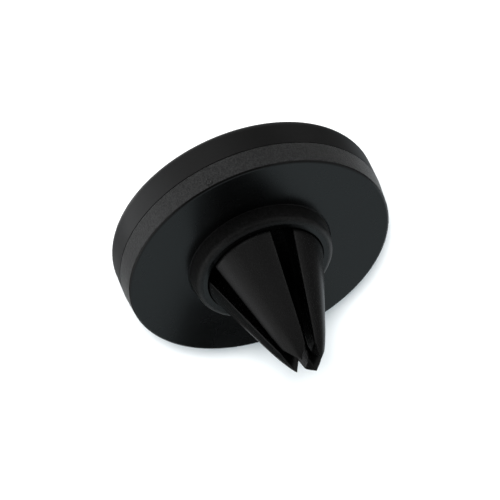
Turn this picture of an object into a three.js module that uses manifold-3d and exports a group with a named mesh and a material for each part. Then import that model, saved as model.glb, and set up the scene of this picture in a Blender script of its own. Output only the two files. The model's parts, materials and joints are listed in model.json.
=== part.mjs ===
// A round magnetic phone mount with a four-finger clip for the blades of a car's air vent.
// Lengths are in millimetres. The face that takes the phone lies on z = 0, and the clip points along +Z,
// so the mount stands on its phone face. The wide blade slot runs along Y and the narrow one along X.

import * as THREE from "three";
import { mergeVertices } from "three/addons/utils/BufferGeometryUtils.js";
import Module from "manifold-3d";

const wasm = await Module();
wasm.setup();

// ---------------------------------------------------------------- driving dimensions

// The disc: a front cap and a rear shell that meet at the seam.
const SEAM_R = 20.5; // the disc is widest here
const PAD_PROUD = 0.2; // the pad stands this far out of the cap
const CAP_DEPTH = 5.15; // from the cap's rim to the seam
const SHELL_DEPTH = 3.65; // from the seam to the rear face
const CAP_RIM_R = 20.39; // drafted in from the seam
const CAP_FILLET = 1.56;
const CAP_FACE = 1; // wall between the pad and the magnets
const CAP_INNER_R = 19.05;
const SHELL_REAR_R = 20.28;
const SHELL_FILLET = 0.62;
const SHELL_WALL = 1.6; // the rear wall's thickness
const SHELL_INNER_R = 18.2;
const TONGUE_R = 18.95; // the shell's lip that plugs into the cap
const TONGUE_DEPTH = 1.35;
const SEAM_CHAMFER = 0.1;

// The pad and the film that holds it in the cap's recess.
const PAD_R = 17.4;
const PAD_EDGE = 0.25;
const FILM_R = 17.2;
const FILM_THICKNESS = 0.15;
const RECESS_DEPTH = 0.8;
const RECESS_R = 17.5;

// The collar round the clip, moulded with the rear shell.
const COLLAR_HEIGHT = 2.8; // above the rear face
const COLLAR_BASE_R = 10.85;
const COLLAR_TOP_R = 10.7;
const COLLAR_ROUND = 0.95;
const COLLAR_CHAMFER_R = 9.3;
const COLLAR_CHAMFER_DEPTH = 0.2;
const BORE_R = 9.05;
const CUP_FLOOR_Z = 7.9;
const CUP_FLOOR = 0.9; // its thickness
const CUP_OUTER_R = 10.2; // the floor steps back to the rear wall here
const SWIVEL_HOLE_R = 3;

// The magnets, their carrier and the steel plate behind them.
const MAGNETS = 4;
const MAGNET_R = 5;
const MAGNET_THICKNESS = 3;
const MAGNET_CHAMFER = 0.25;
const MAGNET_CIRCLE_R = 10.8;
const CARRIER_R = 18;
const CARRIER_THICKNESS = 2.35;
const CARRIER_HOLE_R = 3.4;
const YOKE_R = 17;
const YOKE_HOLE_R = 3.2;
const YOKE_THICKNESS = 1;

// The posts inside the rear shell and the screws that hold the cap to them.
const SCREWS = 4;
const SCREW_CIRCLE_R = 15.4;
const SCREW_HEAD_R = 1.7;
const SCREW_HEAD_HEIGHT = 0.85;
const SCREW_SHANK_R = 0.8;
const SCREW_LENGTH = 5;
const SCREW_POINT = 0.6;
const RECESS_ARM = 0.2; // width of a driver recess's arm, as a part of the head's radius
const POST_R = 1.9;
const PILOT_R = 0.82;
const RIB_WIDTH = 1;
const RIB_INNER_R = 10.5; // outside the cup
const RIB_OUTER_R = 16.5;

// The clip: a turning hub that carries four springy fingers, parted by two tapering slots.
const HUB_R = 8.9;
const HUB_THICKNESS = 1.25;
const HUB_CHAMFER = 0.15;
const HUB_SKIN = 0.3; // left above the screw's hole
const BOSS_R = 2.8; // runs in the swivel hole
const RUNNING_GAP = 0.05;
const BOSS_PROUD = 0.35; // below the cup's floor, so that the wave washer has room
const ROOT_GAP = 0.15; // between the hub and a finger's root
const FINGER_BASE_R = 8.9;
const CONE_SLOPE = 0.328; // radius lost per millimetre of height
const CONE_APEX = 33.86; // from the seam to where the cone would end in a point
const NOSE_START = 19.47; // from the seam: the cone turns into the nose
const NOSE_TIP = 27.92;
const NOSE_PULL = 4.12;
const NOSE_BLUNT_R = 1.475;
const CORE_ROOT_R = 6.8;
const CORE_TIP_R = 0.3;
const CORE_TIP = 23.2; // from the seam: the hollow between the fingers closes before their tips

// Half of each slot's width where its faces start, at the fingers' roots, and where they would end, at the
// nose's height. The lead-in's faces lean the other way, and open the slots' mouths for the blade.
const SLOTS = { rootX: 1.99, endX: 0.56, rootY: 1.76, endY: 0.04 };
const LEAD_IN = { rootX: -7.34, endX: 2.44, rootY: -5.41, endY: 2 };

// The screw that holds the clip in its cup, and its two washers.
const SWIVEL_SHANK_R = 1;
const SWIVEL_HEAD_R = 2.4;
const SWIVEL_HEAD_FLAT_R = 1.7;
const SWIVEL_HEAD_HEIGHT = 1.4;
const SWIVEL_HEAD_EDGE = 0.55;
const WASHER_R = 5;
const WASHER_THICKNESS = 0.5;
const WAVE_INNER_R = 3.3;
const WAVE_OUTER_R = 5;
const WAVE_THICKNESS = 0.14;
const WAVE_HEIGHT = 0.08; // each side of the middle
const WAVES = 3;

// Fits and facets.
const SLIP = 0.1; // clearance of a loose fit, on the radius
const FINE = 72;
const MEDIUM = 36;
const COARSE = 24;
const ARC_STEPS = 2;
const NOSE_STEPS = 9;
const REACH = 30; // longer than the part is wide
const WELD = 1e-4; // vertices closer than this are one

// ---------------------------------------------------------------- heights worked out from them

const CAP_RIM_Z = PAD_PROUD;
const RECESS_Z = CAP_RIM_Z + RECESS_DEPTH;
const CAP_INSIDE_Z = RECESS_Z + CAP_FACE;
const SEAM_Z = CAP_RIM_Z + CAP_DEPTH;
const REAR_Z = SEAM_Z + SHELL_DEPTH;
const INSIDE_Z = REAR_Z - SHELL_WALL;
const COLLAR_Z = REAR_Z + COLLAR_HEIGHT;
const CUP_UNDER_Z = CUP_FLOOR_Z - CUP_FLOOR;
const MAGNET_TOP_Z = CAP_INSIDE_Z + MAGNET_THICKNESS;
const YOKE_TOP_Z = MAGNET_TOP_Z + YOKE_THICKNESS;
const HUB_Z = CUP_FLOOR_Z + RUNNING_GAP;
const HUB_TOP_Z = HUB_Z + HUB_THICKNESS;
const HUB_HOLE_TOP_Z = HUB_TOP_Z - HUB_SKIN;
const BOSS_Z = CUP_UNDER_Z - BOSS_PROUD;
const WASHER_Z = BOSS_Z - WASHER_THICKNESS;
const ROOT_Z = HUB_TOP_Z + ROOT_GAP;
const TIP_Z = SEAM_Z + NOSE_TIP;
const NOSE_Z = SEAM_Z + NOSE_START;

// ---------------------------------------------------------------- tools

// A closed geometry as a solid that can be joined to others and cut by them.
function solid(geometry) {
  const bare = geometry.clone();
  bare.deleteAttribute("normal");
  bare.deleteAttribute("uv");
  const merged = mergeVertices(bare, WELD);
  const mesh = new wasm.Mesh({
    numProp: 3,
    vertProperties: merged.getAttribute("position").array,
    triVerts: new Uint32Array(merged.index.array),
  });
  return new wasm.Manifold(mesh);
}

// A solid back as a geometry that three.js can draw.
function shape(body) {
  const mesh = body.getMesh();
  const geometry = new THREE.BufferGeometry();
  geometry.setAttribute("position", new THREE.BufferAttribute(mesh.vertProperties, 3));
  geometry.setIndex(new THREE.BufferAttribute(mesh.triVerts, 1));
  geometry.computeVertexNormals();
  return geometry;
}

// The solid of an outline of (radius, height), walked anticlockwise, turned about the Z axis.
function revolve(outline, facets) {
  const lathe = new THREE.LatheGeometry(outline.getPoints(ARC_STEPS), facets);
  return solid(lathe.rotateX(Math.PI / 2));
}

// The outline through the given [radius, height] corners. A closed one comes back to its first corner.
function outlineOf(corners, closed = false) {
  const outline = new THREE.Path();
  outline.setFromPoints(corners.map(([r, z]) => new THREE.Vector2(r, z)));
  if (closed) {
    outline.closePath();
  }
  return outline;
}

// An upright round bar between two heights, which may taper.
function bar(bottomR, topR, bottomZ, topZ, facets) {
  const height = topZ - bottomZ;
  const cylinder = new THREE.CylinderGeometry(topR, bottomR, height, facets);
  cylinder.rotateX(Math.PI / 2);
  cylinder.translate(0, 0, bottomZ + height / 2);
  return solid(cylinder);
}

// An upright block centred on (x, y).
function block(width, depth, bottomZ, topZ, x = 0, y = 0) {
  const box = new THREE.BoxGeometry(width, depth, topZ - bottomZ);
  box.translate(x, y, (bottomZ + topZ) / 2);
  return solid(box);
}

// Calls make(index, turn in radians) for each of count places spaced evenly round the axis.
function around(count, firstTurn, make) {
  return Array.from({ length: count }, (_, index) => make(index, firstTurn + (index * 2 * Math.PI) / count));
}

// The same solid, moved out along X and then turned about the axis.
function placed(body, radius, turn) {
  const degrees = THREE.MathUtils.radToDeg(turn);
  return body.translate([radius, 0, 0]).rotate([0, 0, degrees]);
}

// A cross-shaped driver recess that is cut upwards from a screw head's flat end.
function crossRecess(headR, bottomZ, depth) {
  const length = headR;
  const width = headR * RECESS_ARM;
  const topZ = bottomZ + depth;
  const below = bottomZ - depth;
  return block(length, width, below, topZ).add(block(width, length, below, topZ));
}

const part = new THREE.Group();

function addMesh(name, geometry, color, roughness, metalness) {
  const material = new THREE.MeshStandardMaterial({ color, roughness, metalness });
  const mesh = new THREE.Mesh(geometry, material);
  mesh.name = name;
  part.add(mesh);
  return mesh;
}

// ---------------------------------------------------------------- pad

function padSolid() {
  const outline = outlineOf([
    [0, 0],
    [PAD_R - PAD_EDGE, 0],
    [PAD_R, PAD_EDGE],
    [PAD_R, RECESS_Z - FILM_THICKNESS],
    [0, RECESS_Z - FILM_THICKNESS],
  ]);
  return revolve(outline, FINE);
}

function filmSolid() {
  return bar(FILM_R, FILM_R, RECESS_Z - FILM_THICKNESS, RECESS_Z, FINE);
}

// ---------------------------------------------------------------- front cap

function capSolid() {
  const outline = new THREE.Path();
  outline.moveTo(0, RECESS_Z);
  outline.lineTo(RECESS_R, RECESS_Z);
  outline.lineTo(RECESS_R, CAP_RIM_Z);
  outline.absarc(CAP_RIM_R - CAP_FILLET, CAP_RIM_Z + CAP_FILLET, CAP_FILLET, -Math.PI / 2, 0, false);
  outline.lineTo(SEAM_R, SEAM_Z - SEAM_CHAMFER);
  outline.lineTo(SEAM_R - SEAM_CHAMFER, SEAM_Z);
  outline.lineTo(CAP_INNER_R, SEAM_Z);
  outline.lineTo(CAP_INNER_R, CAP_INSIDE_Z);
  outline.lineTo(0, CAP_INSIDE_Z);
  const headR = SCREW_HEAD_R + SLIP;
  const shankR = SCREW_SHANK_R + SLIP;
  const mouth = bar(headR, headR, RECESS_Z - 1, RECESS_Z, COARSE);
  const countersink = bar(headR, shankR, RECESS_Z, RECESS_Z + SCREW_HEAD_HEIGHT, COARSE);
  const shankHole = bar(shankR, shankR, RECESS_Z, CAP_INSIDE_Z + 1, COARSE);
  const hole = mouth.add(countersink).add(shankHole);
  let cap = revolve(outline, FINE);
  around(SCREWS, 0, (index, turn) => {
    cap = cap.subtract(placed(hole, SCREW_CIRCLE_R, turn));
  });
  return cap;
}

// ---------------------------------------------------------------- rear shell and collar

function shellOutline() {
  const outline = new THREE.Path();
  outline.moveTo(SWIVEL_HOLE_R, CUP_UNDER_Z);
  outline.lineTo(CUP_OUTER_R, CUP_UNDER_Z);
  outline.lineTo(CUP_OUTER_R, INSIDE_Z);
  outline.lineTo(SHELL_INNER_R, INSIDE_Z);
  outline.lineTo(SHELL_INNER_R, SEAM_Z - TONGUE_DEPTH);
  outline.lineTo(TONGUE_R, SEAM_Z - TONGUE_DEPTH);
  outline.lineTo(TONGUE_R, SEAM_Z);
  outline.lineTo(SEAM_R - SEAM_CHAMFER, SEAM_Z);
  outline.lineTo(SEAM_R - SEAM_CHAMFER / 2, SEAM_Z + SEAM_CHAMFER);
  outline.absarc(SHELL_REAR_R - SHELL_FILLET, REAR_Z - SHELL_FILLET, SHELL_FILLET, 0, Math.PI / 2, false);
  outline.lineTo(COLLAR_BASE_R, REAR_Z);
  outline.absarc(COLLAR_TOP_R - COLLAR_ROUND, COLLAR_Z - COLLAR_ROUND, COLLAR_ROUND, 0, Math.PI / 2, false);
  outline.lineTo(COLLAR_CHAMFER_R, COLLAR_Z);
  outline.lineTo(BORE_R, COLLAR_Z - COLLAR_CHAMFER_DEPTH);
  outline.lineTo(BORE_R, CUP_FLOOR_Z);
  outline.lineTo(SWIVEL_HOLE_R, CUP_FLOOR_Z);
  outline.closePath();
  return outline;
}

function shellSolid() {
  const postBottom = CAP_INSIDE_Z + RUNNING_GAP;
  const joined = INSIDE_Z + SHELL_WALL / 2; // the posts and ribs grow out of the middle of the rear wall
  const post = bar(POST_R, POST_R, postBottom, joined, COARSE);
  const pilotTop = RECESS_Z + SCREW_LENGTH + SLIP;
  const pilot = bar(PILOT_R, PILOT_R, postBottom - 1, pilotTop, COARSE);
  const ribLength = RIB_OUTER_R - RIB_INNER_R;
  const rib = block(ribLength, RIB_WIDTH, YOKE_TOP_Z + RUNNING_GAP, joined);
  let shell = revolve(shellOutline(), FINE);
  around(SCREWS, 0, (index, turn) => {
    shell = shell.add(placed(post, SCREW_CIRCLE_R, turn));
  });
  around(SCREWS, Math.PI / SCREWS, (index, turn) => {
    shell = shell.add(placed(rib, RIB_INNER_R + ribLength / 2, turn));
  });
  around(SCREWS, 0, (index, turn) => {
    shell = shell.subtract(placed(pilot, SCREW_CIRCLE_R, turn));
  });
  return shell;
}

// ---------------------------------------------------------------- magnets, carrier and yoke

const MAGNET_TURN = Math.PI / MAGNETS; // the magnets stand between the posts

function magnetSolid() {
  const outline = outlineOf([
    [0, CAP_INSIDE_Z],
    [MAGNET_R - MAGNET_CHAMFER, CAP_INSIDE_Z],
    [MAGNET_R, CAP_INSIDE_Z + MAGNET_CHAMFER],
    [MAGNET_R, MAGNET_TOP_Z - MAGNET_CHAMFER],
    [MAGNET_R - MAGNET_CHAMFER, MAGNET_TOP_Z],
    [0, MAGNET_TOP_Z],
  ]);
  return revolve(outline, MEDIUM);
}

// A flat ring with a notch or hole round each post.
function ringRoundPosts(innerR, outerR, bottomZ, topZ) {
  const postHole = bar(POST_R + 2 * SLIP, POST_R + 2 * SLIP, bottomZ - 1, topZ + 1, COARSE);
  let ring = bar(outerR, outerR, bottomZ, topZ, FINE);
  ring = ring.subtract(bar(innerR, innerR, bottomZ - 1, topZ + 1, MEDIUM));
  around(SCREWS, 0, (index, turn) => {
    ring = ring.subtract(placed(postHole, SCREW_CIRCLE_R, turn));
  });
  return ring;
}

function carrierSolid() {
  const bottomZ = CAP_INSIDE_Z + RUNNING_GAP;
  const topZ = bottomZ + CARRIER_THICKNESS;
  const pocket = bar(MAGNET_R + SLIP, MAGNET_R + SLIP, bottomZ - 1, topZ + 1, MEDIUM);
  let carrier = ringRoundPosts(CARRIER_HOLE_R, CARRIER_R, bottomZ, topZ);
  around(MAGNETS, MAGNET_TURN, (index, turn) => {
    carrier = carrier.subtract(placed(pocket, MAGNET_CIRCLE_R, turn));
  });
  return carrier;
}

function yokeSolid() {
  return ringRoundPosts(YOKE_HOLE_R, YOKE_R, MAGNET_TOP_Z, YOKE_TOP_Z);
}

// ---------------------------------------------------------------- cap screws

function capScrewSolid() {
  const headZ = RECESS_Z + RUNNING_GAP;
  const endZ = headZ + SCREW_LENGTH;
  const outline = outlineOf([
    [0, headZ],
    [SCREW_HEAD_R, headZ],
    [SCREW_SHANK_R, headZ + SCREW_HEAD_HEIGHT],
    [SCREW_SHANK_R, endZ - SCREW_POINT],
    [SCREW_SHANK_R / 4, endZ],
    [0, endZ],
  ]);
  const recess = crossRecess(SCREW_HEAD_R, headZ, SCREW_HEAD_HEIGHT / 2);
  return revolve(outline, COARSE).subtract(recess);
}

// ---------------------------------------------------------------- clip hub

function hubSolid() {
  const hole = SWIVEL_SHANK_R + RUNNING_GAP;
  const outline = outlineOf([
    [0, HUB_HOLE_TOP_Z],
    [hole, HUB_HOLE_TOP_Z],
    [hole, BOSS_Z],
    [BOSS_R, BOSS_Z],
    [BOSS_R, HUB_Z],
    [HUB_R - HUB_CHAMFER, HUB_Z],
    [HUB_R, HUB_Z + HUB_CHAMFER],
    [HUB_R, HUB_TOP_Z - HUB_CHAMFER],
    [HUB_R - HUB_CHAMFER, HUB_TOP_Z],
    [0, HUB_TOP_Z],
  ]);
  return revolve(outline, FINE);
}

// ---------------------------------------------------------------- fingers

function coneRadius(height) {
  return CONE_SLOPE * (SEAM_Z + CONE_APEX - height);
}

// The whole clip's outer form, as if it had no slots: a short barrel, a cone and a rounded nose.
function clipForm() {
  const barrelTop = SEAM_Z + CONE_APEX - FINGER_BASE_R / CONE_SLOPE;
  const noseR = coneRadius(NOSE_Z);
  const nose = new THREE.CubicBezierCurve(
    new THREE.Vector2(noseR, NOSE_Z),
    new THREE.Vector2(noseR - CONE_SLOPE * NOSE_PULL, NOSE_Z + NOSE_PULL),
    new THREE.Vector2(NOSE_BLUNT_R, TIP_Z),
    new THREE.Vector2(0, TIP_Z),
  );
  const outline = outlineOf([
    [0, ROOT_Z],
    [FINGER_BASE_R, ROOT_Z],
    [FINGER_BASE_R, barrelTop],
    ...nose.getPoints(NOSE_STEPS).map((point) => [point.x, point.y]),
  ]);
  return revolve(outline, FINE);
}

// A block that fills one quarter of the clip.
// Its two inner faces lean evenly from the roots to the nose's height.
function quarter({ rootX, endX, rootY, endY }) {
  const box = new THREE.BoxGeometry(1, 1, 1);
  const corners = box.getAttribute("position");
  for (let i = 0; i < corners.count; i += 1) {
    const atEnd = corners.getZ(i) > 0;
    const nearX = atEnd ? endX : rootX;
    const nearY = atEnd ? endY : rootY;
    const x = corners.getX(i) > 0 ? REACH : nearX;
    const y = corners.getY(i) > 0 ? REACH : nearY;
    corners.setXYZ(i, x, y, atEnd ? TIP_Z : ROOT_Z);
  }
  return solid(box);
}

// The finger in the +X +Y quarter. Its two slot faces stand half a slot's width from the axis planes.
function fingerSolid() {
  const core = bar(CORE_ROOT_R, CORE_TIP_R, ROOT_Z - RUNNING_GAP, SEAM_Z + CORE_TIP, MEDIUM);
  return clipForm().subtract(core).intersect(quarter(SLOTS)).intersect(quarter(LEAD_IN));
}

// ---------------------------------------------------------------- swivel screw and washers

function swivelScrewSolid() {
  const headZ = WASHER_Z - SWIVEL_HEAD_HEIGHT;
  const endZ = HUB_HOLE_TOP_Z - SLIP;
  const outline = outlineOf([
    [0, headZ],
    [SWIVEL_HEAD_FLAT_R, headZ],
    [SWIVEL_HEAD_R, headZ + SWIVEL_HEAD_EDGE],
    [SWIVEL_HEAD_R, WASHER_Z],
    [SWIVEL_SHANK_R, WASHER_Z],
    [SWIVEL_SHANK_R, endZ],
    [0, endZ],
  ]);
  const recess = crossRecess(SWIVEL_HEAD_R, headZ, SWIVEL_HEAD_HEIGHT / 2);
  return revolve(outline, MEDIUM).subtract(recess);
}

function washerSolid() {
  const inner = SWIVEL_SHANK_R + SLIP;
  const outline = outlineOf(
    [
      [inner, WASHER_Z],
      [WASHER_R, WASHER_Z],
      [WASHER_R, BOSS_Z],
      [inner, BOSS_Z],
    ],
    true,
  );
  return revolve(outline, MEDIUM);
}

// A thin spring ring that rises and falls as it goes round.
function waveWasherSolid() {
  const middleZ = (BOSS_Z + CUP_UNDER_Z) / 2;
  const low = middleZ - WAVE_THICKNESS / 2;
  const high = middleZ + WAVE_THICKNESS / 2;
  const outline = outlineOf(
    [
      [WAVE_INNER_R, low],
      [WAVE_OUTER_R, low],
      [WAVE_OUTER_R, high],
      [WAVE_INNER_R, high],
    ],
    true,
  );
  const lathe = new THREE.LatheGeometry(outline.getPoints(1), FINE);
  lathe.rotateX(Math.PI / 2);
  const points = lathe.getAttribute("position");
  for (let i = 0; i < points.count; i += 1) {
    const turn = Math.atan2(points.getY(i), points.getX(i));
    points.setZ(i, points.getZ(i) + WAVE_HEIGHT * Math.cos(WAVES * turn));
  }
  return solid(lathe);
}

// ---------------------------------------------------------------- the assembly

addMesh("face_pad", shape(padSolid()), 0x141516, 0.85, 0);
addMesh("pad_film", shape(filmSolid()), 0xb9b4a4, 0.6, 0);
addMesh("front_cap", shape(capSolid()), 0x17181a, 0.45, 0);
addMesh("rear_shell", shape(shellSolid()), 0x1a1b1d, 0.6, 0);
addMesh("magnet_carrier", shape(carrierSolid()), 0x2a2c2e, 0.6, 0);
addMesh("yoke_plate", shape(yokeSolid()), 0x8d9196, 0.35, 1);

const magnet = shape(magnetSolid());
around(MAGNETS, MAGNET_TURN, (index, turn) => {
  const mesh = addMesh(`magnet_${index + 1}`, magnet, 0xc4c7ca, 0.25, 1);
  mesh.position.set(MAGNET_CIRCLE_R * Math.cos(turn), MAGNET_CIRCLE_R * Math.sin(turn), 0);
});

const capScrew = shape(capScrewSolid());
around(SCREWS, 0, (index, turn) => {
  const mesh = addMesh(`cap_screw_${index + 1}`, capScrew, 0x9a9ea3, 0.35, 1);
  mesh.position.set(SCREW_CIRCLE_R * Math.cos(turn), SCREW_CIRCLE_R * Math.sin(turn), 0);
});

addMesh("clip_hub", shape(hubSolid()), 0x0c0d0e, 0.3, 0);
addMesh("swivel_screw", shape(swivelScrewSolid()), 0x9a9ea3, 0.35, 1);
addMesh("swivel_washer", shape(washerSolid()), 0x8d9196, 0.35, 1);
addMesh("wave_washer", shape(waveWasherSolid()), 0x6f7479, 0.3, 1);

// The four fingers mirror one another across the two slots.
const finger = fingerSolid();
const FINGER_QUARTERS = [
  [1, -1],
  [1, 1],
  [-1, 1],
  [-1, -1],
];
FINGER_QUARTERS.forEach(([x, y], index) => {
  let body = finger;
  if (x < 0) {
    body = body.mirror([1, 0, 0]);
  }
  if (y < 0) {
    body = body.mirror([0, 1, 0]);
  }
  addMesh(`clip_finger_${index + 1}`, shape(body), 0x0c0d0e, 0.25, 0);
});

export default part;
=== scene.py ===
"""The looks of a round magnetic vent mount for a phone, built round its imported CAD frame.

Every length below is in millimetres in the part's own frame, and MM turns it into Blender's metres. The
mount stands on its phone face at z = 0, with its clip pointing up the Z axis, its wide blade slot along Y
and its narrow one along X.
"""

import json
import math

import bmesh
import bpy
import numpy as np
from mathutils import Matrix, Vector


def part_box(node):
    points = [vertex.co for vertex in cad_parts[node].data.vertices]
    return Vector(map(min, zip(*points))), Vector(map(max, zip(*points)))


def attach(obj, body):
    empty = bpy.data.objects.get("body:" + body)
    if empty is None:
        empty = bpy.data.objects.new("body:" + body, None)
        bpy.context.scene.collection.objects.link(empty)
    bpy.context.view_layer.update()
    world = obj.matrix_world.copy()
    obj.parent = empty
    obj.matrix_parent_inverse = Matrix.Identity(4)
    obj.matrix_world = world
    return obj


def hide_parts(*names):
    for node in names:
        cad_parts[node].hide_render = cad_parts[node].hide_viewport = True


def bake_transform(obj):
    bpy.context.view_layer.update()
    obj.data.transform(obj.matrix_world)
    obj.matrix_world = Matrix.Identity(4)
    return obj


MM = 0.001

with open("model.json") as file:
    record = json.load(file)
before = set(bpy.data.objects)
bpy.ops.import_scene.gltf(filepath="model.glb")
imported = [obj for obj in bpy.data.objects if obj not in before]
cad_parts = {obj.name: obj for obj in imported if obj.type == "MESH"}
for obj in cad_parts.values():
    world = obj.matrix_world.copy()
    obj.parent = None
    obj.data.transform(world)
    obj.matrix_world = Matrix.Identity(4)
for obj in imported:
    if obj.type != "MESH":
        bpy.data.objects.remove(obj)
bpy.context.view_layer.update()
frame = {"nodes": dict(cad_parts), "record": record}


def node_box(name):
    """A CAD node's lowest and highest corners, in millimetres."""
    low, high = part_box(name)
    return low / MM, high / MM


# ---------------------------------------------------------------- sizes read from the frame

PAD_HIGH = node_box("face_pad")[1]
CAP_LOW, CAP_HIGH = node_box("front_cap")
SHELL_LOW, SHELL_HIGH = node_box("rear_shell")
HUB_LOW, HUB_HIGH = node_box("clip_hub")
FINGER_LOW, FINGER_HIGH = node_box("clip_finger_2")  # the finger in the +X +Y quarter
SCREW_LOW, SCREW_HIGH = node_box("cap_screw_1")

PAD_R = PAD_HIGH.x
PAD_TOP = PAD_HIGH.z
RIM = CAP_LOW.z  # the cap's rim, where the pad stands proud of it
SEAM = CAP_HIGH.z
SEAM_R = CAP_HIGH.x
COLLAR_TOP = SHELL_HIGH.z
SHELL_BOTTOM = SHELL_LOW.z
HUB_R = HUB_HIGH.x
HUB_TOP = HUB_HIGH.z
HUB_BOTTOM = HUB_LOW.z
ROOT = FINGER_LOW.z
TIP = FINGER_HIGH.z

# ---------------------------------------------------------------- the disc and collar

PAD_ROUND = 0.3
REAR = 9.0
REAR_R = 20.28
REAR_FILLET = 0.42
RIM_R = 20.39
RIM_FILLET = 1.56
CAP_INNER_R = 19.05
RECESS_R = 17.5
RECESS_ROUND = 0.12
RECESS = 1.0
CAP_INSIDE = 2.0
SEAM_GAP = 0.09  # the shadow line between the cap and the shell
SEAM_GAP_DEPTH = 0.5
SEAM_ROUND = 0.05

GATE_AZIMUTH = math.radians(-52.2)  # the round witness mark on the shell's band
GATE_HEIGHT = 7.85
GATE_R = 0.66
GATE_FOOT_R = RIM_R - 0.07  # just under the band's surface
# The mark's rings, each as a share of its radius and how far it stands out of its foot.
GATE_RINGS = ((1.0, -0.3), (1.0, 0.0), (0.85, 0.08), (0.6, 0.08), (0.45, -0.05))

COLLAR_BASE_R = 10.85
COLLAR_TOP_R = 10.7
COLLAR_ROUND = 0.95
COLLAR_FOOT = 0.12  # the crease where the collar meets the rear face
COLLAR_GRAIN_R = COLLAR_BASE_R + 3 * COLLAR_FOOT  # where the collar's finish, a grain painted darker as painted shade, ends
SATIN_BOTTOM = REAR - 0.75 * REAR_FILLET  # and the rear face's, part of the way down its round edge
LEVEL_WITHIN = 0.004  # how far a flat face's own facets may lie from its height
BORE_R = 9.0
BORE_LIP_R = 9.1
BORE_LIP_DEPTH = 0.12
CUP_FLOOR = 7.9
CUP_UNDER = 7.0
CUP_OUTER_R = 10.2
SWIVEL_HOLE_R = 3.0
INSIDE = 7.4
SHELL_INNER_R = 18.2
TONGUE_R = 18.95

# The posts inside the shell that the cap's four screws go into, and the ribs between them.
SCREWS = 4
SCREW_CIRCLE_R = (SCREW_LOW.x + SCREW_HIGH.x) / 2
SCREW_HEAD_R = 1.8
SCREW_HOLE_R = 0.9
SCREW_SINK = 0.85
POST_R = 1.9
PILOT_R = 0.82
PILOT_TOP = 6.1
POST_BOTTOM = 2.05
RIB_WIDTH = 1.0
RIB_BOTTOM = 6.05
RIB_INNER_R = 10.5
RIB_OUTER_R = 16.5
WALL_MIDDLE = 8.2  # where the posts and ribs end, inside the rear wall
PAST = 0.5  # how far a hole's cutter runs past what it cuts

# ---------------------------------------------------------------- the clip

HUB_FLOOR = CUP_FLOOR + 0.05  # the disc of the hub runs just above the cup's floor
HUB_ROUND = 0.15
BOSS_R = 2.8
SCREW_THREAD_R = 1.05
SCREW_THREAD_TOP = 8.9
BARREL_R = 8.9
CONE_SLOPE = 0.328  # the radius it loses in each millimetre of height
CONE_APEX = 39.21
CONE_BLEND = 0.06  # how softly the barrel turns into the cone
NOSE = 24.82
NOSE_TIP = 33.27  # where the nose would end if the slots left it whole
NOSE_PULL = 4.12  # how far up its curve keeps the cone's slope
NOSE_BLUNT_R = 1.475  # and how far out it is level at the tip
SLOT_X = (1.99, 0.56)  # half the wide slot's width, at the slots' root and at NOSE_TIP
SLOT_Y = (1.76, 0.04)
LEAD_X = (-7.34, 2.44)  # the lead-in's faces, which open the slots' mouths
LEAD_Y = (-5.41, 2.0)
SLOT_ROOT = 9.35
CORE_R = (6.8, 0.3)  # the hollow between the fingers, at the slots' root and at its top
CORE_TOP = 28.55
EDGE_ROUND = 0.13
EDGE_SHARE = 0.22  # a finger's edges are rounded less than this share of its depth
CORE_SHARE = 0.5  # and the hollow leaves it at least this share of it
ROOT_SUNK = 0.17  # how deep a finger's root runs into the hub
NOSE_RUN = 3.0  # the sections crowd together from this far under the nose
THINNEST = 0.03  # the tip ends where a finger is no thicker
TIP_STEP = 0.005
ROWS = 44  # sections along a finger's body, and as many along its nose
OUTER_STEPS = 44  # and the points of a section: its outer face, slot faces, inner face and edges
SLOT_STEPS = 9
INNER_STEPS = 14
OUTER_EDGE_STEPS = 5
INNER_EDGE_STEPS = 4

# ---------------------------------------------------------------- mesh tools

TURNS = 256  # facets round the disc
HOLE_TURNS = 48
PILOT_TURNS = 32
GATE_TURNS = 24
ARC_STEP = math.radians(9)  # the largest turn between two points of an arc


def arc(centre_r, centre_z, radius, start, end):
    """Points along an arc in the (radius, height) plane, from start to end in degrees."""
    a, b = math.radians(start), math.radians(end)
    steps = max(3, math.ceil(abs(b - a) / ARC_STEP))
    angles = [a + (b - a) * i / steps for i in range(steps + 1)]
    return [(centre_r + radius * math.cos(t), centre_z + radius * math.sin(t)) for t in angles]


def spread(start, end, count):
    """Points from start to end, closer together near both ends, without the end itself."""
    t = 0.5 - 0.5 * np.cos(np.pi * np.arange(count) / count)
    return [tuple(np.array(start) * (1 - s) + np.array(end) * s) for s in t]


def turn_about(centre, radius, start, end, count):
    """count points on a circle from one angle to another, without the last."""
    angles = [start + (end - start) * i / count for i in range(count)]
    return [(centre[0] + radius * math.cos(a), centre[1] + radius * math.sin(a)) for a in angles]


def held(profile, margin=0.08, longest=1.5):
    """The profile with its long straight runs divided, and with a point close to each end of them.
    The points near the ends keep smooth shading from spreading across the flats."""
    points = []
    for (r0, z0), (r1, z1) in zip(profile, profile[1:] + profile[:1]):
        points.append((r0, z0))
        length = math.hypot(r1 - r0, z1 - z0)
        if length < 4 * margin:
            continue
        inner = length - 2 * margin
        pieces = max(1, math.ceil(inner / longest))
        for i in range(pieces + 1):
            t = (margin + inner * i / pieces) / length
            points.append((r0 + (r1 - r0) * t, z0 + (z1 - z0) * t))
    return points


def new_object(name, points, faces):
    """A shaded mesh object from points in millimetres. Edges sharper than 35 degrees stay sharp."""
    mesh = bpy.data.meshes.new(name)
    mesh.from_pydata([Vector(p) * MM for p in points], [], faces)
    mesh.validate()
    obj = bpy.data.objects.new(name, mesh)
    bpy.context.scene.collection.objects.link(obj)
    smooth(obj)
    return obj


def smooth(obj):
    obj.data.shade_smooth()
    obj.data.set_sharp_from_angle(angle=math.radians(35))


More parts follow.
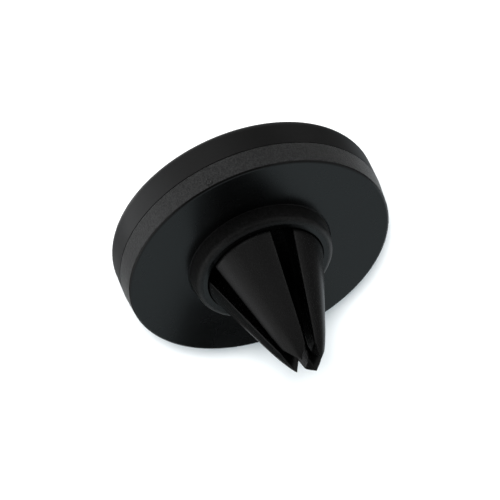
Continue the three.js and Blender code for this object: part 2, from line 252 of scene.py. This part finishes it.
def weld(obj, distance=0.002):
    """Joins the points of obj that lie within distance of one another, in millimetres."""
    mesh = bmesh.new()
    mesh.from_mesh(obj.data)
    bmesh.ops.remove_doubles(mesh, verts=mesh.verts, dist=distance * MM)
    mesh.to_mesh(obj.data)
    mesh.free()
    smooth(obj)


def lathe(name, profile, turns=TURNS, centre=(0, 0)):
    """A closed solid of revolution. The profile is a closed loop of (radius, height) points. A point on the
    axis becomes one vertex."""
    points, rings = [], []
    for r, z in profile:
        if r < 1e-6:
            rings.append([len(points)])
            points.append((centre[0], centre[1], z))
            continue
        rings.append(list(range(len(points), len(points) + turns)))
        for i in range(turns):
            a = 2 * math.pi * i / turns
            points.append((centre[0] + r * math.cos(a), centre[1] + r * math.sin(a), z))
    faces = []
    for lower, upper in zip(rings, rings[1:] + rings[:1]):
        if len(lower) == 1 and len(upper) == 1:
            continue
        for i in range(turns):
            j = (i + 1) % turns
            corners = [lower[i % len(lower)], lower[j % len(lower)]]
            corners += [upper[j % len(upper)], upper[i % len(upper)]]
            faces.append(list(dict.fromkeys(corners)))
    return new_object(name, points, faces)


def box(name, low, high, turn=0.0):
    """A closed block between two corners, turned about the Z axis."""
    spin = Matrix.Rotation(turn, 3, "Z")
    corners = [(x, y, z) for z in (low[2], high[2]) for y in (low[1], high[1]) for x in (low[0], high[0])]
    faces = [(0, 2, 3, 1), (4, 5, 7, 6), (0, 1, 5, 4), (2, 6, 7, 3), (0, 4, 6, 2), (1, 3, 7, 5)]
    return new_object(name, [spin @ Vector(c) for c in corners], faces)


def combine(obj, operation, tools):
    """Joins tools to obj, or cuts them from it, and removes them."""
    for tool in tools:
        modifier = obj.modifiers.new("combine", "BOOLEAN")
        modifier.operation = operation
        modifier.solver = "EXACT"
        modifier.object = tool
    graph = bpy.context.evaluated_depsgraph_get()
    mesh = bpy.data.meshes.new_from_object(obj.evaluated_get(graph))
    obj.modifiers.clear()
    obj.data = mesh
    for tool in tools:
        bpy.data.objects.remove(tool)
    smooth(obj)
    return obj


def screw_places(first=0.0):
    """The turn and the (x, y) of each place on the screws' circle, or between them."""
    for i in range(SCREWS):
        turn = first + 2 * math.pi * i / SCREWS
        yield turn, (SCREW_CIRCLE_R * math.cos(turn), SCREW_CIRCLE_R * math.sin(turn))


# ---------------------------------------------------------------- disc pieces


def make_pad():
    profile = [(0, 0)]
    profile += arc(PAD_R - PAD_ROUND, PAD_ROUND, PAD_ROUND, -90, 0)
    profile += [(PAD_R, PAD_TOP), (0, PAD_TOP)]
    return lathe("pad_face", held(profile))


def make_cap():
    gap = SEAM - SEAM_GAP / 2
    profile = [(0, RECESS), (RECESS_R, RECESS)]
    profile += arc(RECESS_R + RECESS_ROUND, RIM + RECESS_ROUND, RECESS_ROUND, 180, 270)
    profile += arc(RIM_R - RIM_FILLET, RIM + RIM_FILLET, RIM_FILLET, -90, 0)
    profile += arc(SEAM_R - SEAM_ROUND, gap - SEAM_ROUND, SEAM_ROUND, 0, 90)
    profile += [(SEAM_R - SEAM_GAP_DEPTH, gap), (SEAM_R - SEAM_GAP_DEPTH, SEAM)]
    profile += [(CAP_INNER_R, SEAM), (CAP_INNER_R, CAP_INSIDE), (0, CAP_INSIDE)]
    cap = lathe("cap_moulding", held(profile))
    holes = []
    for i, (_, place) in enumerate(screw_places()):
        sink = [(0, RECESS - PAST), (SCREW_HEAD_R, RECESS - PAST), (SCREW_HEAD_R, RECESS)]
        sink += [(SCREW_HOLE_R, RECESS + SCREW_SINK), (SCREW_HOLE_R, CAP_INSIDE + PAST)]
        sink += [(0, CAP_INSIDE + PAST)]
        holes.append(lathe(f"hole_{i}", sink, HOLE_TURNS, place))
    return combine(cap, "DIFFERENCE", holes)


def make_gate_mark():
    """The faint round witness the moulding's gate leaves on the shell's band, a raised rim round a dip."""
    outward = Vector((math.cos(GATE_AZIMUTH), math.sin(GATE_AZIMUTH), 0))
    upward = Vector((0, 0, 1))
    across = upward.cross(outward)
    middle = outward * GATE_FOOT_R + upward * GATE_HEIGHT
    points = []
    for share, proud in GATE_RINGS:
        for x, y in turn_about((0, 0), GATE_R * share, 0, 2 * math.pi, GATE_TURNS):
            points.append(middle + outward * proud + across * x + upward * y)
    last = len(points) - GATE_TURNS
    faces = [tuple(reversed(range(GATE_TURNS))), tuple(range(last, len(points)))]
    for ring in range(0, last, GATE_TURNS):
        for i in range(GATE_TURNS):
            j = (i + 1) % GATE_TURNS
            faces.append((ring + i, ring + j, ring + GATE_TURNS + j, ring + GATE_TURNS + i))
    return new_object("gate_mark", points, faces)


def make_shell():
    gap = SEAM + SEAM_GAP / 2
    profile = [(SWIVEL_HOLE_R, CUP_UNDER), (CUP_OUTER_R, CUP_UNDER), (CUP_OUTER_R, INSIDE)]
    profile += [(SHELL_INNER_R, INSIDE), (SHELL_INNER_R, SHELL_BOTTOM), (TONGUE_R, SHELL_BOTTOM)]
    profile += [(TONGUE_R, SEAM), (SEAM_R - SEAM_GAP_DEPTH, SEAM), (SEAM_R - SEAM_GAP_DEPTH, gap)]
    profile += arc(SEAM_R - SEAM_ROUND, gap + SEAM_ROUND, SEAM_ROUND, -90, 0)
    profile += arc(REAR_R - REAR_FILLET, REAR - REAR_FILLET, REAR_FILLET, 0, 90)
    profile += arc(COLLAR_BASE_R + COLLAR_FOOT, REAR, COLLAR_FOOT, 0, -180)
    profile += arc(COLLAR_TOP_R - COLLAR_ROUND, COLLAR_TOP - COLLAR_ROUND, COLLAR_ROUND, 0, 90)
    profile += [(BORE_LIP_R, COLLAR_TOP), (BORE_R, COLLAR_TOP - BORE_LIP_DEPTH)]
    profile += [(BORE_R, CUP_FLOOR), (SWIVEL_HOLE_R, CUP_FLOOR)]
    shell = lathe("shell_moulding", held(profile))
    posts, ribs, pilots = [], [], []
    for i, (_, place) in enumerate(screw_places()):
        post = [(0, POST_BOTTOM), (POST_R, POST_BOTTOM), (POST_R, WALL_MIDDLE), (0, WALL_MIDDLE)]
        pilot = [(0, POST_BOTTOM - PAST), (PILOT_R, POST_BOTTOM - PAST), (PILOT_R, PILOT_TOP)]
        pilot += [(0, PILOT_TOP)]
        posts.append(lathe(f"post_{i}", post, HOLE_TURNS, place))
        pilots.append(lathe(f"pilot_{i}", pilot, PILOT_TURNS, place))
    for i, (turn, _) in enumerate(screw_places(math.pi / SCREWS)):
        low = (RIB_INNER_R, -RIB_WIDTH / 2, RIB_BOTTOM)
        high = (RIB_OUTER_R, RIB_WIDTH / 2, WALL_MIDDLE)
        ribs.append(box(f"rib_{i}", low, high, turn))
    combine(shell, "UNION", posts + ribs + [make_gate_mark()])
    return combine(shell, "DIFFERENCE", pilots)


def finish_shell(shell, rear_face, collar):
    """Gives the rear face and the collar's level rim one finish, and the rest of the collar another, whose
    darker colours are painted shade on the collar and the crease at its foot.
    """
    shell.data.materials.append(rear_face)
    shell.data.materials.append(collar)
    for face in shell.data.polygons:
        flat = math.hypot(face.center.x, face.center.y) / MM
        z = face.center.z / MM
        if z > SATIN_BOTTOM and flat > COLLAR_GRAIN_R:
            face.material_index = 1
        elif abs(z - COLLAR_TOP) < LEVEL_WITHIN:
            face.material_index = 1
        elif z > CUP_FLOOR and flat < COLLAR_GRAIN_R:
            face.material_index = 2


# ---------------------------------------------------------------- clip pieces


def make_hub():
    profile = [(0, SCREW_THREAD_TOP), (SCREW_THREAD_R, SCREW_THREAD_TOP), (SCREW_THREAD_R, HUB_BOTTOM)]
    profile += [(BOSS_R, HUB_BOTTOM), (BOSS_R, HUB_FLOOR)]
    profile += arc(HUB_R - HUB_ROUND, HUB_FLOOR + HUB_ROUND, HUB_ROUND, -90, 0)
    profile += arc(HUB_R - HUB_ROUND, HUB_TOP - HUB_ROUND, HUB_ROUND, 0, 90)
    profile += [(0, HUB_TOP)]
    return lathe("hub_moulding", held(profile))


def nose_curve(samples=200):
    """(height, radius) along the rounded nose, a cubic that leaves the cone along its slope."""
    start_r = CONE_SLOPE * (CONE_APEX - NOSE)
    heights = (NOSE, NOSE + NOSE_PULL, NOSE_TIP, NOSE_TIP)
    radii = (start_r, start_r - CONE_SLOPE * NOSE_PULL, NOSE_BLUNT_R, 0)
    t = np.linspace(0, 1, samples)
    weights = ((1 - t) ** 3, 3 * t * (1 - t) ** 2, 3 * t * t * (1 - t), t**3)
    return sum(w * z for w, z in zip(weights, heights)), sum(w * r for w, r in zip(weights, radii))


NOSE_Z, NOSE_R = nose_curve()


def clip_radius(z):
    """The clip's outer radius at a height: a short barrel, a cone, and the nose."""
    if z > NOSE:
        return float(np.interp(z, NOSE_Z, NOSE_R))
    cone = CONE_SLOPE * (CONE_APEX - z)
    return 0.5 * (BARREL_R + cone - math.hypot(BARREL_R - cone, CONE_BLEND))


def along(pair, z, top=NOSE_TIP):
    """The value at a height of what runs evenly from the slots' root to a height above it."""
    return pair[0] + (pair[1] - pair[0]) * (z - SLOT_ROOT) / (top - SLOT_ROOT)


def half_slots(z):
    """Half the wide and the narrow slot's width at a height."""
    return max(along(SLOT_X, z), along(LEAD_X, z)), max(along(SLOT_Y, z), along(LEAD_Y, z))


def section(z):
    """A finger's outline at a height, in the +X +Y quarter, anticlockwise from its outer face, and how
    close each point is to a rounded edge."""
    hx, hy = half_slots(z)
    outer = clip_radius(z)
    corner = math.hypot(hx, hy)
    depth = outer - corner
    e = min(EDGE_ROUND, EDGE_SHARE * depth)
    core = min(along(CORE_R, z, CORE_TOP), outer - CORE_SHARE * depth)
    c0 = (math.sqrt((outer - e) ** 2 - (hy + e) ** 2), hy + e)
    c1 = (hx + e, math.sqrt((outer - e) ** 2 - (hx + e) ** 2))
    reach = max(core, 0) + e
    k1 = (hx + e, math.sqrt(max(reach**2 - (hx + e) ** 2, (hy + e) ** 2)))
    k0 = (math.sqrt(max(reach**2 - (hy + e) ** 2, (hx + e) ** 2)), hy + e)
    inner = math.hypot(*k1) - e
    a0, a1 = math.atan2(c0[1], c0[0]), math.atan2(c1[1], c1[0])
    b0, b1 = math.atan2(k0[1], k0[0]), math.atan2(k1[1], k1[0])
    parts = [
        (turn_about(c0, e, -math.pi / 2, a0, OUTER_EDGE_STEPS), 1),
        (turn_about((0, 0), outer, a0, a1, OUTER_STEPS), 0),
        (turn_about(c1, e, a1, math.pi, OUTER_EDGE_STEPS), 1),
        (spread((hx, c1[1]), (hx, k1[1]), SLOT_STEPS), 0),
        (turn_about(k1, e, math.pi, math.pi + b1, INNER_EDGE_STEPS), 0.5),
        (turn_about((0, 0), inner, b1, b0, INNER_STEPS), 0),
        (turn_about(k0, e, math.pi + b0, 1.5 * math.pi, INNER_EDGE_STEPS), 0.5),
        (spread((k0[0], hy), (c0[0], hy), SLOT_STEPS), 0),
    ]
    outline = [p for points, _ in parts for p in points]
    edge = [value for points, value in parts for _ in points]
    return outline, edge


def finger_heights():
    """Heights of a finger's sections, closer together where the slots turn and at the tip."""
    top = TIP
    while clip_radius(top) - math.hypot(*half_slots(top)) < THINNEST:
        top -= TIP_STEP
    start = NOSE - NOSE_RUN
    body = np.linspace(ROOT - ROOT_SUNK, start, ROWS)
    nose = start + (top - start) * np.sin(np.linspace(0, math.pi / 2, ROWS))
    return np.concatenate([body, nose[1:]])


def make_finger(index, mirror_x, mirror_y):
    """One finger as a loft of its sections. Its root runs down into the hub: the two are one moulding."""
    points, edges, rows = [], [], []
    for z in finger_heights():
        outline, edge = section(z)
        rows.append(list(range(len(points), len(points) + len(outline))))
        points += [(x * mirror_x, y * mirror_y, z) for x, y in outline]
        edges += edge
    faces = []
    for lower, upper in zip(rows, rows[1:]):
        for i in range(len(lower)):
            j = (i + 1) % len(lower)
            faces.append((lower[i], lower[j], upper[j], upper[i]))
    faces += [tuple(reversed(rows[0])), tuple(rows[-1])]
    if mirror_x * mirror_y < 0:
        faces = [tuple(reversed(f)) for f in faces]
    finger = new_object(f"finger_moulding_{index}", points, faces)
    attribute = finger.data.attributes.new("edge", "FLOAT", "POINT")
    attribute.data.foreach_set("value", edges)
    weld(finger)
    return finger


# ---------------------------------------------------------------- materials


class Nodes:
    """A material's node tree, with short ways to add and join nodes."""

    def __init__(self, name):
        self.material = bpy.data.materials.new(name)
        self.material.use_nodes = True
        self.tree = self.material.node_tree
        self.shader = self.tree.nodes["Principled BSDF"]
        self.position = self.add("ShaderNodeTexCoord").outputs["Object"]

    def add(self, kind, **settings):
        node = self.tree.nodes.new(kind)
        for key, value in settings.items():
            setattr(node, key, value)
        return node

    def put(self, value, socket):
        """Joins an output to a socket, or sets the socket to a number or colour."""
        if isinstance(value, bpy.types.NodeSocket):
            self.tree.links.new(value, socket)
        else:
            socket.default_value = value

    def math(self, operation, a, b=0.0, clamp=False):
        node = self.add("ShaderNodeMath", operation=operation, use_clamp=clamp)
        self.put(a, node.inputs[0])
        self.put(b, node.inputs[1])
        return node.outputs[0]

    def noise(self, size, detail=2.0, roughness=0.5, stretch=(1, 1, 1)):
        """A noise with features about size millimetres across, which stretch lengthens along each axis."""
        mapping = self.add("ShaderNodeMapping")
        mapping.inputs["Scale"].default_value = [1 / (s * size * MM) for s in stretch]
        self.put(self.position, mapping.inputs["Vector"])
        texture = self.add("ShaderNodeTexNoise")
        self.put(mapping.outputs[0], texture.inputs["Vector"])
        texture.inputs["Scale"].default_value = 1.0
        texture.inputs["Detail"].default_value = detail
        texture.inputs["Roughness"].default_value = roughness
        return texture.outputs["Fac"]

    def ramp(self, value, low, high, start=0.0, end=1.0):
        """value from low to high becomes start to end, and stays there beyond them."""
        node = self.add("ShaderNodeMapRange", interpolation_type="SMOOTHSTEP")
        for socket, setting in zip(list(node.inputs)[:5], (value, low, high, start, end)):
            self.put(setting, socket)
        return node.outputs[0]

    def mix(self, share, a, b):
        """The colour a where share is 0 and b where it is 1."""
        node = self.add("ShaderNodeMix", data_type="RGBA")
        self.put(share, node.inputs[0])
        self.put(a, node.inputs[6])
        self.put(b, node.inputs[7])
        return node.outputs[2]

    def bump(self, height, depth, before=None):
        """A bump whose height of 1 stands depth millimetres out of the surface."""
        node = self.add("ShaderNodeBump")
        node.inputs["Distance"].default_value = depth * MM
        self.put(height, node.inputs["Height"])
        if before is not None:
            self.put(before, node.inputs["Normal"])
        return node.outputs[0]

    def from_axis(self):
        """Distance from the Z axis, and height along it."""
        split = self.add("ShaderNodeSeparateXYZ")
        self.put(self.position, split.inputs[0])
        flat = self.math("ADD", self.square(split.outputs[0]), self.square(split.outputs[1]))
        return self.math("SQRT", flat), split.outputs[2]

    def square(self, value):
        return self.math("POWER", value, 2.0)

    def ring(self, radius, height, width):
        """1 on a circle round the Z axis, falling to 0 width millimetres away from it."""
        flat, z = self.from_axis()
        dr = self.math("SUBTRACT", flat, radius * MM)
        dz = self.math("SUBTRACT", z, height * MM)
        far = self.math("SQRT", self.math("ADD", self.square(dr), self.square(dz)))
        return self.ramp(far, 0.0, width * MM, 1.0, 0.0)

    def finish(self, colour, roughness, normal, metallic=0.0, specular=0.5, ior=1.46):
        self.put(colour, self.shader.inputs["Base Color"])
        self.put(roughness, self.shader.inputs["Roughness"])
        self.put(normal, self.shader.inputs["Normal"])
        self.shader.inputs["Metallic"].default_value = metallic
        self.shader.inputs["Specular IOR Level"].default_value = specular
        self.shader.inputs["IOR"].default_value = ior
        return self.material


def grey(value, tint=(1.0, 1.0, 1.0)):
    return (value * tint[0], value * tint[1], value * tint[2], 1.0)


def grain_material(name, dark, light, rough, specular, sheen):
    """Black moulded plastic with a fine spark grain: the shell's band and its collar, where darker colours
    are painted shade.
    """
    n = Nodes(name)
    fine = n.noise(0.24, 3.0, 0.7)
    coarse = n.noise(0.9, 2.0)
    cloud = n.noise(6.0, 3.0)
    wear = n.math(
        "MAXIMUM",
        n.ring(REAR_R - 0.15, REAR - 0.15, 0.35),
        n.ring(COLLAR_TOP_R - 0.25, COLLAR_TOP - 0.25, 0.45),
    )
    worn = n.math("MULTIPLY", wear, n.ramp(n.noise(1.6, 4.0), 0.45, 0.75))
    colour = n.mix(n.ramp(fine, 0.34, 0.66), grey(dark), grey(light))
    colour = n.mix(n.math("MULTIPLY", worn, 0.5), colour, grey(light * 2))
    roughness = n.math("ADD", rough, n.math("MULTIPLY", n.math("SUBTRACT", cloud, 0.5), 0.10))
    roughness = n.math("SUBTRACT", roughness, n.math("MULTIPLY", worn, 0.12))
    relief = n.math("ADD", n.math("MULTIPLY", fine, 0.75), n.math("MULTIPLY", coarse, 0.25))
    material = n.finish(colour, roughness, n.bump(relief, 0.07), specular=specular)
    n.shader.inputs["Sheen Weight"].default_value = sheen
    n.shader.inputs["Sheen Roughness"].default_value = 0.35
    return material


def satin_material():
    """The same plastic left smooth, on the shell's rear face."""
    n = Nodes("shell_satin")
    fine = n.noise(0.3, 2.0)
    cloud = n.noise(6.0, 3.0)
    colour = n.mix(cloud, grey(0.0006, (0.95, 1.0, 1.04)), grey(0.0012, (0.95, 1.0, 1.04)))
    roughness = n.math("ADD", 0.27, n.math("MULTIPLY", n.math("SUBTRACT", cloud, 0.5), 0.08))
    return n.finish(colour, roughness, n.bump(fine, 0.0006), specular=0.5)


def cap_material():
    """Black moulded plastic with a smooth satin finish."""
    n = Nodes("cap_plastic")
    fine = n.noise(0.16, 2.0)
    cloud = n.noise(5.0, 3.0)
    wear = n.math("MAXIMUM", n.ring(RIM_R - 0.45, RIM + 0.45, 0.7), n.ring(SEAM_R, SEAM - 0.1, 0.2))
    worn = n.math("MULTIPLY", wear, n.ramp(n.noise(1.9, 4.0), 0.45, 0.75))
    colour = n.mix(cloud, grey(0.0016), grey(0.0030))
    colour = n.mix(n.math("MULTIPLY", worn, 0.5), colour, grey(0.012))
    roughness = n.math("ADD", 0.42, n.math("MULTIPLY", n.math("SUBTRACT", cloud, 0.5), 0.12))
    roughness = n.math("SUBTRACT", roughness, n.math("MULTIPLY", worn, 0.1))
    return n.finish(colour, roughness, n.bump(fine, 0.006), specular=0.4)


def clip_material(has_edges):
    """Smooth semi-gloss black plastic, with faint flow lines that run up the fingers."""
    n = Nodes("clip_plastic" if has_edges else "hub_plastic")
    flow = n.noise(0.9, 3.0, 0.55, (1, 1, 14))
    fine = n.noise(0.12, 2.0)
    cloud = n.noise(4.0, 2.0)
    if has_edges:
        edge = n.add("ShaderNodeAttribute", attribute_name="edge").outputs["Fac"]
    else:
        edge = n.ring(HUB_R, HUB_TOP, 0.25)
    worn = n.math("MULTIPLY", edge, n.ramp(n.noise(1.2, 4.0), 0.35, 0.7))
    colour = n.mix(cloud, grey(0.0012), grey(0.0024))
    colour = n.mix(n.math("MULTIPLY", worn, 0.6), colour, grey(0.012))
    roughness = n.math("ADD", 0.26, n.math("MULTIPLY", n.math("SUBTRACT", flow, 0.5), 0.16))
    relief = n.math("ADD", n.math("MULTIPLY", flow, 0.8), n.math("MULTIPLY", fine, 0.2))
    return n.finish(colour, roughness, n.bump(relief, 0.008), specular=0.5)


def pad_material():
    """Matte black silicone with a fine dusty texture."""
    n = Nodes("pad_rubber")
    fine = n.noise(0.11, 3.0, 0.6)
    dust = n.noise(2.6, 5.0, 0.6)
    patches = n.ramp(n.noise(1.4, 3.0), 0.4, 0.7, 0.0, 0.6)
    worn = n.math("MULTIPLY", n.ring(PAD_R, 0.0, 0.5), patches)
    colour = n.mix(n.ramp(dust, 0.35, 0.75), grey(0.0085), grey(0.0150))
    colour = n.mix(worn, colour, grey(0.035))
    roughness = n.ramp(dust, 0.2, 0.8, 0.72, 0.9)
    return n.finish(colour, roughness, n.bump(fine, 0.02), specular=0.35)


def film_material():
    """Milky double-sided film, with a faint fibre in it."""
    n = Nodes("adhesive_film")
    fibre = n.noise(0.4, 4.0, 0.6, (1, 6, 1))
    cloud = n.noise(3.0, 2.0)
    colour = n.mix(fibre, grey(0.62, (1.0, 0.97, 0.9)), grey(0.74, (1.0, 0.98, 0.93)))
    roughness = n.ramp(cloud, 0.2, 0.8, 0.42, 0.6)
    return n.finish(colour, roughness, n.bump(fibre, 0.012))


def carrier_material():
    """Plain dark grey moulding, as a piece is that nobody sees."""
    n = Nodes("carrier_plastic")
    fine = n.noise(0.25, 3.0)
    cloud = n.noise(4.0, 3.0)
    edge = n.ramp(n.add("ShaderNodeNewGeometry").outputs["Pointiness"], 0.52, 0.6)
    colour = n.mix(cloud, grey(0.040), grey(0.056))
    colour = n.mix(n.math("MULTIPLY", edge, 0.4), colour, grey(0.1))
    return n.finish(colour, n.ramp(cloud, 0.2, 0.8, 0.45, 0.62), n.bump(fine, 0.02))


def metal_material(name, base, rough, grain, tint=(1.0, 1.0, 1.0)):
    """Plated or bare metal, brushed round the axis, with brighter worn edges."""
    n = Nodes(name)
    brushed = n.noise(grain, 4.0, 0.6, (6, 1, 1))
    stain = n.noise(2.4, 4.0)
    edge = n.ramp(n.add("ShaderNodeNewGeometry").outputs["Pointiness"], 0.52, 0.62)
    colour = n.mix(stain, grey(base * 0.86, tint), grey(base, tint))
    colour = n.mix(n.math("MULTIPLY", edge, 0.5), colour, grey(min(1.0, base * 1.15), tint))
    roughness = n.ramp(brushed, 0.2, 0.8, rough * 0.8, rough * 1.25)
    return n.finish(colour, roughness, n.bump(brushed, 0.006), metallic=1.0)


def floor_material():
    n = Nodes("studio_floor")
    cloud = n.noise(40.0, 3.0)
    fine = n.noise(0.8, 3.0)
    colour = n.mix(cloud, grey(0.84), grey(0.86))
    return n.finish(colour, n.ramp(cloud, 0.2, 0.8, 0.75, 0.85), n.bump(fine, 0.01), specular=0.2)


def paint(obj, material):
    obj.data.materials.clear()
    obj.data.materials.append(material)


# ---------------------------------------------------------------- build the pieces

MATERIALS = {
    "pad_rubber": pad_material(),
    "adhesive_film": film_material(),
    "cap_plastic": cap_material(),
    "shell_plastic": grain_material("shell_grain", 0.005, 0.030, 0.50, 0.5, 0.26),
    "carrier_plastic": carrier_material(),
    "clip_plastic": clip_material(False),
    "magnet_nickel": metal_material("magnet_nickel", 0.75, 0.2, 0.2, (1.0, 0.99, 0.96)),
    "yoke_steel": metal_material("yoke_steel", 0.55, 0.35, 0.3, (0.97, 0.99, 1.0)),
    "screw_steel": metal_material("screw_steel", 0.62, 0.3, 0.15),
    "spring_steel": metal_material("spring_steel", 0.42, 0.28, 0.2, (0.96, 0.98, 1.0)),
}
NODE_SLOTS = {s["node"]: s["material_slot"] for s in frame["record"]["subparts"]}

for node, obj in frame["nodes"].items():
    paint(obj, MATERIALS[NODE_SLOTS[node]])

for piece, node, body in (
    (make_pad(), "face_pad", "housing"),
    (make_cap(), "front_cap", "housing"),
    (make_shell(), "rear_shell", "housing"),
    (make_hub(), "clip_hub", "clip"),
):
    paint(piece, MATERIALS[NODE_SLOTS[node]])
    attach(piece, body)
    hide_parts(node)

# The collar's copy of the grain has darker colours than the band's: painted shade on the collar and the
# crease at its foot.
collar_with_painted_shade = grain_material("collar_grain_painted_shade", 0.002, 0.015, 0.42, 0.36, 0.08)
finish_shell(bpy.data.objects["shell_moulding"], satin_material(), collar_with_painted_shade)

finger_plastic = clip_material(True)
QUARTERS = ((1, -1), (1, 1), (-1, 1), (-1, -1))
for i, (mx, my) in enumerate(QUARTERS, 1):
    finger = make_finger(i, mx, my)
    paint(finger, finger_plastic)
    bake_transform(finger)
    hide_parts(f"clip_finger_{i}")

# ---------------------------------------------------------------- floor, light and camera

FLOOR_HALF = 1500.0
FLOOR_DROP = 0.01  # keeps the floor clear of the pad's face
VIEW_AZIMUTH = 31.24
VIEW_ELEVATION = 36.84
VIEW_ROLL = 155.6
VIEW_WIDTH = 73.63
VIEW_RIGHT = -0.203  # how far the picture's centre lies from the seam's, along the picture
VIEW_UP = -1.832
VIEW_AWAY = 300.0
VIEW_NEAR = 1.0
VIEW_FAR = 10000.0
FLAG = ((-22, 24), (-1, 46))  # the black card's corners
FLAG_HEIGHT = 24
KEY_FROM = (0.445, -0.741, 0.503)
KEY_BREADTH = 17  # gives the shadow a soft edge
KEY_POWER = 11.0
FILL_BREADTH = 150
FILL_POWER = 0.3
FILL_COLOUR = (0.40, 0.80, 1.0)  # a cool light, which tints the shadow


def camera_axes():
    """The directions of the picture's right and top and the one back to the camera."""
    azimuth, elevation, roll = (math.radians(a) for a in (VIEW_AZIMUTH, VIEW_ELEVATION, VIEW_ROLL))
    flat = math.cos(elevation)
    back = Vector((math.sin(azimuth) * flat, -math.cos(azimuth) * flat, math.sin(elevation)))
    level = Vector((math.cos(azimuth), math.sin(azimuth), 0))
    upright = back.cross(level)
    right = level * math.cos(roll) + upright * math.sin(roll)
    return right, back.cross(right), back


def make_camera():
    right, up, back = camera_axes()
    aim = Vector((0, 0, SEAM)) + right * VIEW_RIGHT + up * VIEW_UP
    data = bpy.data.cameras.new("camera")
    data.type = "ORTHO"
    data.ortho_scale = VIEW_WIDTH * MM
    data.clip_start, data.clip_end = VIEW_NEAR * MM, VIEW_FAR * MM
    camera = bpy.data.objects.new("camera", data)
    axes = Matrix((right, up, back)).transposed().to_4x4()
    camera.matrix_world = Matrix.Translation((aim + back * VIEW_AWAY) * MM) @ axes
    bpy.context.scene.collection.objects.link(camera)
    bpy.context.scene.camera = camera


def sheet(name, low, high, height):
    """A level sheet between two corners, facing up."""
    corners = [(low[0], low[1]), (high[0], low[1]), (high[0], high[1]), (low[0], high[1])]
    return new_object(name, [(x, y, height) for x, y in corners], [(0, 1, 2, 3)])


def make_flag():
    """A black card above the mount. Only reflections show it, as a soft dark patch on the rear face."""
    flag = sheet("flag", *FLAG, FLAG_HEIGHT)
    n = Nodes("flag_cloth")
    weave = n.noise(1.0, 2.0)
    cloth = n.mix(weave, grey(0.001), grey(0.003))
    paint(flag, n.finish(cloth, 0.9, n.bump(weave, 0.05), specular=0.0))
    flag.visible_camera = False
    flag.visible_diffuse = False
    flag.visible_shadow = False


def floor_light(name, direction, breadth, power, colour, receivers):
    """A far soft light on the floor alone, from a direction and as broad as an angle in degrees."""
    data = bpy.data.lights.new(name, "SUN")
    data.angle = math.radians(breadth)
    data.energy = power
    data.color = colour
    light = bpy.data.objects.new(name, data)
    light.rotation_mode = "QUATERNION"
    light.rotation_quaternion = Vector(direction).normalized().to_track_quat("Z", "Y")
    bpy.context.scene.collection.objects.link(light)
    light.light_linking.receiver_collection = receivers


def make_floor():
    floor = sheet("floor", (-FLOOR_HALF, -FLOOR_HALF), (FLOOR_HALF, FLOOR_HALF), -FLOOR_DROP)
    paint(floor, floor_material())
    floor.visible_glossy = False
    return floor


# What surrounds the mount: an even grey, and on it soft-edged panels, each with the direction it lies in,
# the angles from that direction where it is full and where it has faded out, and its colour. A later panel
# covers an earlier one.
SURROUND = (0.36, 0.36, 0.36)
PANELS = (
    ((-0.08, 0.52, -0.85), 13, 30, (1.25, 1.28, 1.31)),
    ((0.94, -0.09, 0.30), 8, 28, (0.62, 0.62, 0.62)),
    ((-0.43, 0.67, 0.60), 25, 60, (0.38, 0.44, 0.46)),
    ((0.44, -0.56, 0.70), 22, 48, (0.02, 0.02, 0.02)),
    ((-0.54, -0.44, 0.72), 12, 30, (0.24, 0.24, 0.24)),
    ((0.54, -0.84, -0.04), 15, 45, (0.25, 0.25, 0.25)),
    ((-0.94, -0.06, -0.32), 10, 45, (0.10, 0.10, 0.10)),
    ((-0.60, 0.60, -0.53), 8, 35, (0.40, 0.43, 0.45)),
    ((0.46, 0.82, -0.32), 5, 35, (0.06, 0.07, 0.07)),
    ((-0.80, 0.56, 0.12), 8, 26, (1.00, 1.06, 1.10)),
    ((-0.20, -0.84, -0.50), 5, 20, (0.10, 0.10, 0.10)),
    ((0.58, -0.57, -0.57), 12, 34, (0.72, 0.72, 0.72)),
    ((0.74, 0.30, -0.60), 17, 40, (1.35, 1.37, 1.40)),
    ((0.46, 0.10, -0.88), 6, 22, (0.45, 0.45, 0.45)),
    ((0.34, 0.68, -0.64), 4, 9, (0.03, 0.03, 0.03)),
    ((0.00, 0.90, -0.42), 8, 18, (0.05, 0.05, 0.05)),
    ((0.77, 0.60, 0.20), 8, 26, (1.15, 1.16, 1.17)),
    ((0.72, 0.66, -0.16), 11, 26, (0.06, 0.06, 0.06)),
)


def make_world():
    world = bpy.data.worlds.new("studio")
    world.use_nodes = True
    tree = world.node_tree
    direction = tree.nodes.new("ShaderNodeTexCoord").outputs["Generated"]
    colour = (*SURROUND, 1.0)
    for towards, full, faded, shade in PANELS:
        dot = tree.nodes.new("ShaderNodeVectorMath")
        dot.operation = "DOT_PRODUCT"
        tree.links.new(direction, dot.inputs[0])
        dot.inputs[1].default_value = Vector(towards).normalized()
        share = tree.nodes.new("ShaderNodeMapRange")
        share.interpolation_type = "SMOOTHSTEP"
        tree.links.new(dot.outputs["Value"], share.inputs[0])
        share.inputs[1].default_value = math.cos(math.radians(faded))
        share.inputs[2].default_value = math.cos(math.radians(full))
        mix = tree.nodes.new("ShaderNodeMix")
        mix.data_type = "RGBA"
        tree.links.new(share.outputs[0], mix.inputs[0])
        if isinstance(colour, tuple):
            mix.inputs[6].default_value = colour
        else:
            tree.links.new(colour, mix.inputs[6])
        mix.inputs[7].default_value = (*shade, 1.0)
        colour = mix.outputs[2]
    tree.links.new(colour, tree.nodes["Background"].inputs["Color"])
    bpy.context.scene.world = world


make_camera()
floor = make_floor()
make_world()
floor_only = bpy.data.collections.new("floor_only")
floor_only.objects.link(floor)
floor_light("key", KEY_FROM, KEY_BREADTH, KEY_POWER, (1.0, 1.0, 1.0), floor_only)
floor_light("fill", (0.0, 0.0, 1.0), FILL_BREADTH, FILL_POWER, FILL_COLOUR, floor_only)
make_flag()
bpy.context.scene.view_settings.view_transform = "Standard"
